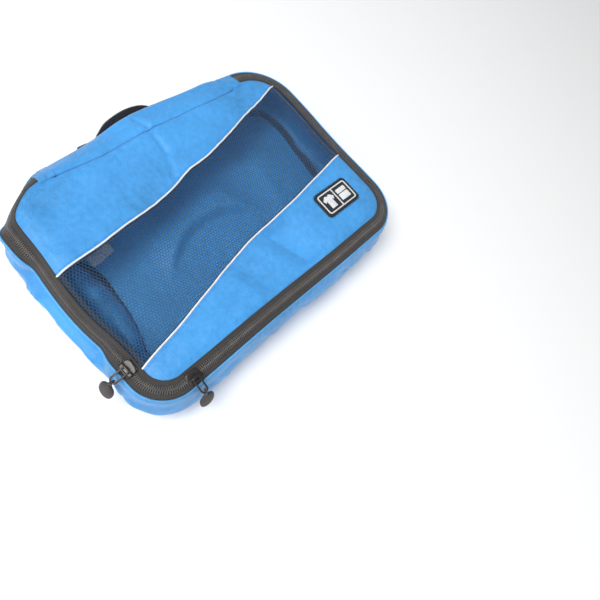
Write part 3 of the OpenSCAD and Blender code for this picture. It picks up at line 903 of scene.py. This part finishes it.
def strip_points(x, rows, profile, lift=0.0):
    """Points on the strip, one column along each x, and their cloth map."""
    t = length_along(profile)
    v = np.linspace(0, t[-1], rows)
    r, z = (np.interp(v, t, profile[:, k]) for k in (0, 1))
    x, r, z = (a + 0.0 for a in np.broadcast_arrays(x[:, None], r, z))
    r = r + (seam_r(x) - SEAM_R) * smooth((-2 - r) / (-2 - SEAM_R))
    r = r + bulge(x) * smooth((r - 4.5) / 4) * 4.6
    z = z + 0.9 * bulge(x) * bell(r, 9, 4)
    r, z = rolled(-x, r, z)
    y = HY + r
    inner = smooth((9 - r) / 6) * smooth((r - SEAM_R) / 3)
    z = z + inner * (0.5 * ripple(x, y, 44, 41) - 1.5 * crease(x, y, (-3, 87), (-6, 100), 2.4, 5))
    z = z + inner * 0.6 * crease(x, y, (2, 87), (0, 102), 2.5, 5)
    y = y + inner * 0.6 * crease(x, y, (-3, 87), (-6, 100), 4, 5)
    return np.stack(settle(x, y, z + lift), -1), joined(x, y + 2 * np.abs(z - LID_TOP))


b = Build()
p, uv = strip_points(np.linspace(-90, 90, 170), 34, STRIP)
b.grid(p[:, ::-1], uv=uv[:, ::-1])
b.piece("hinge_strip_cloth", "cloth", ("bag", "lid"), "body_cloth", "hinge_strip", fold=FOLD, thickness=CLOTH)

b = Build()
p, _ = strip_points(np.linspace(-88, 88, 400), 60, STRIP)
stitches(b, p[:, 56], rise=RISE + 0.1)
b.piece("hinge_strip_stitching", "thread", "bag", "body_cloth")

# The folded cloth over each end of the zip: (from, to) along the back, rows, section
OVER_TAPE = STRIP[1:] + (0, 0.35)
LID_END = np.array([(SEAM_R + 0.4, 48.9), (-6.6, 49.35), (-4, 48.8), (-1.6, 48.1), (0.6, 47.4), (1.3, 46.9)])
BAG_END = np.array([(0.2, 46.3), (1.6, 46.6), (4, 46.0), (6.6, 44.9), (8.0, 43.6), (8.7, 42.2)])


def fold_over_end(build, side, x0, x1, rows, profile):
    """A folded patch with a rolled edge at its outer end."""
    p, uv = strip_points(side * np.linspace(x0, x1, 14), rows, profile, 0.25)
    p[..., 2] -= 0.5 * np.clip(np.abs(p[..., 0]) - x1 + 1.0, 0, 1) ** 2
    build.grid(p[:, ::-side], uv=uv[:, ::-side])


for side, name in ((-1, "left"), (1, "right")):
    b = Build()
    fold_over_end(b, side, 86.5, 94.4, 34, OVER_TAPE)
    fold_over_end(b, side, 93.6, 100.3, 16, LID_END)
    b.piece("zip_end_fold_" + name, "cloth", ("bag", "lid"), "body_cloth", fold=FOLD, thickness=CLOTH)
    b = Build()
    fold_over_end(b, side, 93.6, 100.3, 18, BAG_END)
    b.piece("zip_end_patch_" + name, "cloth", "bag", "body_cloth", "zip_end_cover_" + name, thickness=CLOTH)

# Binding that closes the lid's seam allowance, inside
b = Build()
x, y, nx, ny = on_loop(np.linspace(0, RIM_L, 420, endpoint=False), HX, HY, RADII)
b.grid(np.stack([on_lid(x + r * nx, y + r * ny, -0.95) for r in (-10.6, -9.3, -7.5, -5.9)], 1), close_u=True)
b.piece("lid_edge_tape", "binding", "lid", "binding_tape", "lid_edge_binding", thickness=BINDING)


# ---------- handle ----------

HANDLE_Z = 19.0
# The webbing leaves each sewn end in a small bend and arches over in a large one
SWING_X, SWING_Y = 31.7, HY + 19.54
BEND_R, BEND = 16.0, math.radians(40)
END_X, END_Y = 47.0, SWING_Y - BEND_R * (1 - math.cos(BEND))
WEB_T = 1.5


def handle_path():
    """The webbing's middle line in plan, from left to right, its outward normals and the distance along it."""
    arch_r = SWING_X / math.sin(BEND)
    pts = [(52.0, END_Y), (END_X, END_Y), (42, END_Y)]
    for t in np.linspace(0, BEND, 14)[1:]:
        pts.append((42 - BEND_R * math.sin(t), END_Y + BEND_R * (1 - math.cos(t))))
    for t in np.linspace(BEND, 0, 22)[1:]:
        pts.append((arch_r * math.sin(t), SWING_Y + arch_r * (math.cos(t) - math.cos(BEND))))
    right = np.array(pts)
    path = np.concatenate([right * (-1, 1), right[::-1][1:]])
    d = length_along(path)
    t = np.linspace(0, d[-1], 240)
    path = np.stack([np.interp(t, d, path[:, k]) for k in (0, 1)], -1)
    g = np.gradient(path, axis=0)
    g /= np.linalg.norm(g, axis=1)[:, None]
    return path, joined(-g[:, 1], g[:, 0]), t


HANDLE_FOLD = {
    "start": (0, (SWING_Y - 1.9) * MM, HANDLE_Z * MM),
    "end": (0, (SWING_Y + 1.9) * MM, (HANDLE_Z - 0.6) * MM),
}


def make_handle():
    path, normal, t = handle_path()
    ax = np.abs(path[:, 0])
    half = 9.0 - 3.2 * np.exp(-(((ax - 31) / 8) ** 2))
    droop = math.radians(10) * smooth((36 - ax) / 8)
    # Raised selvedges and fine lengthwise cords across the face
    k = np.linspace(-1, 1, 25)
    face = np.stack([k, 0.5 * WEB_T * (1 - 0.5 * k ** 16) + 0.1 * np.cos(k * 7 * TAU)])
    u, f = np.concatenate([face, (face * [[1], [-1]])[:, ::-1]], 1)[:, None]
    out = f + 0.9 * (u * u - 0.3) * smooth((30 - ax) / 12)[:, None]
    x = path[:, 0:1] + normal[:, 0:1] * out
    # The arch is slack, and more so on the left
    slack = 0.62 + 0.28 * smooth((path[:, 0:1] + 30) / 50)
    reach = path[:, 1:2] - SWING_Y
    dy = np.where(reach > 0, reach * slack, reach) + normal[:, 1:2] * out
    dz = u * half[:, None] + 0 * out
    cos, sin = np.cos(droop)[:, None], np.sin(droop)[:, None]
    y, z = SWING_Y + cos * dy + sin * dz, HANDLE_Z - sin * dy + cos * dz
    b = Build()
    uv = joined(np.broadcast_to(t[:, None], x.shape), u * half[:, None] + (f < 0) * 20)
    b.grid(joined(x, y, z), close_v=True, caps=True, uv=uv)
    b.piece("handle_webbing", "webbing", ("bag", "handle"), "webbing",
            "handle_strap", "handle_end_left", "handle_end_right", fold=HANDLE_FOLD)
    for side, name in ((-1, "left"), (1, "right")):
        make_handle_end(side, name)


def make_handle_end(side, name):
    """The doubled-over end, sewn down on the wall with a crossed box."""
    b = Build()
    px = np.array([-1.6, -1.9, -1.6, -0.7, 1.3, 1.9, 1.9, 1.3, -0.7])
    py = np.array([0.9, 0.0, -0.9, -1.25, -1.3, -0.8, 0.8, 1.3, 1.25])
    rows = []
    for z in np.linspace(-9, 9, 25):
        y = END_Y - 0.4 + py + 0.15 * math.cos(z * TAU / 2.6) * np.sign(py)
        rows.append(joined(side * (END_X + 5.6 * px / 1.9), y, HANDLE_Z + z))
    b.grid(rows, close_v=True, caps=True)
    b.piece("handle_end_fold_" + name, "webbing", "bag", "webbing", bevel=0.2)
    b = Build()
    box = ((-4.2, -7.6), (4.2, -7.6), (4.2, 7.6), (-4.2, 7.6))
    corners = [(side * END_X + x, END_Y + 1.05, HANDLE_Z + z) for x, z in box]
    for i, j in ((0, 1), (1, 2), (2, 3), (3, 0), (0, 2), (3, 1)):
        stitches(b, [corners[i], corners[j]], 1.5, 0.5, 0.2, (-0.3, 0, 0.08, 0, -0.3), 0.2, 1)
    b.piece("handle_end_stitching_" + name, "thread_dark", "bag", "webbing")


make_handle()


# ---------- badge ----------

def rounded(ax, ay, r, n=8):
    """A rounded rectangle of half sizes ax and ay, anticlockwise, with n points on each corner."""
    pts = []
    for q in range(4):
        for t in np.linspace(0, math.pi / 2, n) + q * math.pi / 2:
            pts.append((SIDE_X[q] * (ax - r) + r * math.cos(t), SIDE_Y[q] * (ay - r) + r * math.sin(t)))
    return np.array(pts)


def prism(build, pts, z0, z1, round_=0.25, hole=None):
    """A flat raised shape with rounded top edges. pts run anticlockwise; hole has as many points."""
    def inset(p, d):
        e = np.roll(p, -1, 0) - p
        e /= np.maximum(np.linalg.norm(e, axis=1), 1e-9)[:, None]
        nrm = joined(-e[:, 1], e[:, 0])
        m = nrm + np.roll(nrm, 1, 0)
        m /= np.maximum((m ** 2).sum(1), 0.5)[:, None] / 2
        return p + d * m

    steps = [(0, z0), (0, z1 - round_), (0.3 * round_, z1 - 0.3 * round_), (round_, z1)]
    rings = [joined(*inset(pts, d).T, z) for d, z in steps]
    if hole is not None:
        rings += [joined(*inset(hole, -d).T, z) for d, z in steps[::-1]]
    build.grid(rings, close_u=hole is not None, close_v=True, caps=hole is None)


def make_badge():
    ax, ay = (BADGE_HI - BADGE_LO)[:2] / 2 + (0.8, 0)
    shift, top = BADGE[:2], BADGE_HI[2]
    low, raised = top - 0.3, top + 0.32
    b = Build()
    prism(b, rounded(ax, ay, 4) + shift, LID_TOP - 0.3, top - 0.25, 0.35)
    # A moulded rim stands round the badge's edge
    prism(b, rounded(ax - 0.5, ay - 0.5, 3.6) + shift, top - 0.5, top, 0.2, rounded(ax - 1.4, ay - 1.4, 2.9) + shift)
    b.piece("badge_base", "badge", "lid", "badge_rubber", "badge", angle=40)
    b = Build()
    margin, line = 2.6, 1.1
    ax, ay = ax - margin, ay - margin
    prism(b, rounded(ax, ay, 2.6) + shift, low, raised, 0.12, rounded(ax - line, ay - line, 1.7) + shift)
    prism(b, rounded(line / 2, ay - line / 2, 0.2, 3) + shift, low, raised - 0.02, 0.12)
    b.piece("badge_raised_frame", "print", "lid", "badge_print", "badge_frame", angle=40)
    b = Build()
    right = np.array([(3.4, -6.5), (3.4, 1.6), (5.2, 0.4), (6.7, 3.2), (3.2, 6.3), (1.5, 6.3), (0, 4.9)])
    left = right[-2::-1] * (-1, 1)
    shirt = np.concatenate([left[-1:], right, left[:-1]])
    prism(b, shirt * (0.98, 1) + shift + (-8.6, 0), low, raised, 0.12)
    for y0, h in ((3.6, 2.2), (-2.6, 3.2)):
        prism(b, rounded(5.7, h, 0.7, 4) + shift + (8.6, y0), low, raised, 0.12)
    b.piece("badge_raised_marks", "print", "lid", "badge_print", "badge_pictograms", angle=40)
    b = Build()
    edge = rounded(ax + margin + 0.7, ay + margin + 0.7, 4.5, 10) + shift
    x, y = np.concatenate([edge, edge[:1]]).T
    stitches(b, on_lid(x, y, 0.08), 1.9, 0.8, 0.16, RISE + 0.04)
    b.piece("badge_stitching", "thread_dark", "lid", "badge_rubber")


make_badge()


# ---------- sliders and pulls ----------

PIVOT = np.array([4.35 * math.sin(TILT), 4.35 * math.cos(TILT)])
RING_L, RING_HALF, RING_DROOP = 13.0, 2.45, math.radians(22)
GRIP_DROOP = math.radians(70)
RING_END = PIVOT + RING_L * np.array([math.cos(RING_DROOP), -math.sin(RING_DROOP)])
NECK, GRIP_L, GRIP_W, GRIP_T, CORD_R = 5.5, 14.0, 13.0, 4.4, 1.75


def turn(angle, about=(0, 0)):
    """Turns points (out, along, up) downwards by angle and moves the origin to about = (out, up)."""
    c, s = math.cos(angle), math.sin(angle)

    def turned(p):
        out, along, up = np.moveaxis(np.asarray(p, float), -1, 0)
        return joined(about[0] + out * c + up * s, along, about[1] - out * s + up * c)
    return turned


def to_world(name):
    """From a slider's own frame (outward, along, up) to the row frame."""
    if name == "left":
        return lambda p: joined(-HX - p[..., 0], LEFT_AT - p[..., 1], RIM_Z + p[..., 2])
    return lambda p: joined(FRONT_AT + p[..., 1], -HY - p[..., 0], RIM_Z + p[..., 2])


class Placed(Build):
    """A Build whose points are carried to the row frame as they are added."""

    def __init__(self, *steps):
        super().__init__()
        self.steps = steps

    def add(self, verts, faces, uv=None):
        verts = np.asarray(verts, float).reshape(-1, 3)
        for step in self.steps:
            verts = step(verts)
        super().add(verts, faces, uv)


def power_curve(a, px, py):
    """Cosine and sine of a, squared off or sharpened by their powers."""
    c, s = np.cos(a), np.sin(a)
    return np.sign(c) * np.abs(c) ** px, np.sign(s) * np.abs(s) ** py


def plate(build, z0, z1, half, length, hollow=0.0):
    """A slider's plate: a rounded form with a narrower tail and softened top edges."""
    n, waist = 44, 0.82
    x, y = power_curve(angles(n), 0.55, 0.6)
    x, y = half * x, length / 2 * y
    x = x * (1 - (1 - waist) * smooth((y + length / 2) / length))
    top = z1 - hollow
    levels = ((0.93, z0), (1.0, z0 + 0.25), (1.0, z1 - 0.4), (0.94, z1 - 0.1), (0.8, z1), (0.45, top), (0.1, top))
    build.grid([joined(x * k, y * k, z) for k, z in levels], close_v=True, caps=True)


def bar(build, path, w, t, close=False, up=(0, 0, 1)):
    """A rounded flat bar swept along a path. w is its width across the path and t its thickness."""
    n = 12
    c = np.asarray(path, float)[:, None, :]
    rows = tube(path, 1.0, n, close=close, up=up) - c
    across, over = power_curve(angles(n), 0.6, 0.6)
    side, top = rows[:, 0:1], rows[:, n // 4: n // 4 + 1]
    p = c + side * (across * w / 2)[None, :, None] + top * (over * t / 2)[None, :, None]
    build.grid(p, close_u=close, close_v=True, caps=not close)


def make_slider(name, carry):
    body = name + "_slider"
    b = Placed(turn(TILT), carry)
    plate(b, 1.9, 3.15, 5.0, 11.5, hollow=0.12)
    for side in (-1, 1):
        # The lips fold down over the teeth's edges
        y = np.linspace(-4.6, 4.6, 24)
        bar(b, joined(side * (4.55 - 0.5 * smooth((y + 5) / 10)), y, 1.45), 1.0, 1.9)
    # The wedge that parts the two halves of the coil
    bar(b, [(0, y, 0.5) for y in np.linspace(1.2, 4.8, 6)], 0.8, 4.4)
    # Bridge: an arched strip along the slider that holds the ring, on a thin foot
    t = np.linspace(0, math.pi, 26)
    y = -4.3 * np.cos(t)
    bar(b, joined(0, y, 3.0 + 2.75 * np.sin(t) ** 0.55), 3.1, 1.0, up=(1, 0, 0))
    bar(b, [(0, at, 3.1) for at in 0.93 * y[[0, 4, 8, 12, 16, 20, 25]]], 1.6, 0.5)
    b.piece("slider_body_" + name, "metal", body, "slider_metal", "slider_" + name, angle=50)
    # The lower plate, under both tapes
    b = Placed(turn(TILT), carry)
    plate(b, -2.1, -0.9, 4.9, 11.0)
    b.piece("slider_under_plate_" + name, "metal", body, "slider_metal", angle=50)


def make_ring(name, carry):
    b = Placed(turn(RING_DROOP, PIVOT), carry)
    loop = rounded((RING_L + 0.4) / 2, RING_HALF, 2.2, 9) + (RING_L / 2, 0)
    bar(b, joined(*loop.T, 0), 1.35, 1.25, close=True)
    # A cross bar closes the part of the ring that sits on the bridge
    bar(b, [(3.4, y, 0.0) for y in np.linspace(-2.3, 2.3, 8)], 1.1, 1.0)
    b.piece("pull_loop_" + name, "metal", name + "_ring", "slider_metal", "pull_ring_" + name, angle=60)


def make_cord(name, carry):
    """The cord passes round the outer bar and both strands run into the grip."""
    b = Placed(turn(GRIP_DROOP, RING_END), carry)
    t = np.linspace(-math.pi * 0.98, math.pi * 0.98, 40)
    ring = joined(-CORD_R * np.cos(t), -0.55 * np.sin(t / 2), CORD_R * np.sin(t))
    lead = np.linspace(0, 1, 10)[1:]
    strand = joined(1.7 + (NECK - 0.1) * lead, -0.55, 0.1 + 0.55 * lead ** 0.5)
    cord = np.concatenate([(strand * (1, -1, -1))[::-1], ring, strand])
    for _ in range(2):
        cord[1:-1] = (cord[:-2] + 2 * cord[1:-1] + cord[2:]) / 4
    ply = 0.66 * (1 + 0.07 * np.cos(np.arange(len(cord)) * 2.1))
    b.tube(cord, ply, up=(0.05, 1, 0.02))
    b.piece("pull_cord_loop_" + name, "thread_dark", name + "_grip", "pull_rubber", "pull_cord_" + name)


def make_grip(name, carry):
    """A moulded pebble with a collar round the cord and a shallow dished face."""
    b = Placed(turn(GRIP_DROOP, RING_END), carry)
    n = 32
    a = angles(n)
    y, z = power_curve(a, 0.85, 0.9)
    ends = np.linspace(0, 0.12, 6), 1 - 0.06 * np.linspace(1, 0, 9)[1:] ** 2
    rows = []
    for u in np.concatenate([ends[0], np.linspace(0.14, 0.94, 26), ends[1]]):
        belly = max(1 - abs(2 * (u - 0.53)) ** 2.6, 0.0) ** 0.5
        collar = (u < 0.15) * smooth(1 - u * 2)
        w = max(GRIP_W / 2 * belly * (1 - 0.06 * u), 1.75 * collar + 0.02)
        th = max(GRIP_T / 2 * belly ** 0.8, 1.55 * collar + 0.02)
        if u == 0:
            w, th = 1.2, 1.1
        dish = 1 - 0.16 * bell(np.cos(a), 0, 0.55) * smooth((belly - 0.5) * 3)
        rows.append(joined(NECK - 0.8 + (GRIP_L + 0.8) * u, w * y, th * z * dish))
    b.grid(rows, close_v=True, caps=True)
    b.piece("pull_grip_pebble_" + name, "rubber", name + "_grip", "pull_rubber", "pull_grip_" + name)


for name in ("left", "front"):
    for make in (make_slider, make_ring, make_cord, make_grip):
        make(name, to_world(name))


# ---------- floor, light and camera ----------

def stand(ob, right, back, at):
    """Puts a light or camera at a place. It looks away from back, with right to its right."""
    axes = np.stack([right, np.cross(back, right), back], 1)
    ob.matrix_world = Matrix([(*row, p) for row, p in zip(axes, at)] + [(0, 0, 0, 1)])


def unit(v):
    return v / np.linalg.norm(v)


# Each light's place and size in metres, and its power in watts
LIGHTS = (
    ("key", (-0.66, 0.2, 1.25), 0.7, 16.5), ("fill", (-0.9, -0.9, 1.1), 1.4, 6), ("soft", (0.9, 0.1, 1.3), 1.6, 2),
)
CAM_AT = np.array([-188.9, -122.0, 378.6]) * MM
CAM_RIGHT, CAM_UP = np.array([0.665, -0.671, 0.327]), np.array([0.569, 0.739, 0.361])


def make_stage():
    white = Nodes("floor_white", 0.8)
    white.colour((0.96, 0.96, 0.96, 1))
    me = bpy.data.meshes.new("floor")
    me.from_pydata([(-6, -6, 0), (6, -6, 0), (6, 6, 0), (-6, 6, 0)], [], [(0, 1, 2, 3)])
    me.materials.append(white.m)
    add_object("floor", me)
    world = bpy.data.worlds.new("studio")
    world.use_nodes = True
    sky = world.node_tree.nodes["Background"].inputs
    sky["Color"].default_value, sky["Strength"].default_value = (0.97, 0.985, 1.0, 1), 0.39
    scene.world = world
    for name, at, size, power in LIGHTS:
        light = bpy.data.lights.new(name, "AREA")
        light.energy, light.size = power, size
        back = unit(np.array(at))
        stand(add_object(name, light), unit(np.cross((0, 0, 1), back)), back, at)
    cam = bpy.data.cameras.new("camera")
    cam.lens, cam.sensor_width, cam.clip_start = 28.7, 36, 0.01
    camera = add_object("camera", cam)
    right = unit(CAM_RIGHT)
    stand(camera, right, unit(np.cross(right, CAM_UP)), CAM_AT)
    scene.camera = camera
    scene.view_settings.view_transform = "Standard"


make_stage()
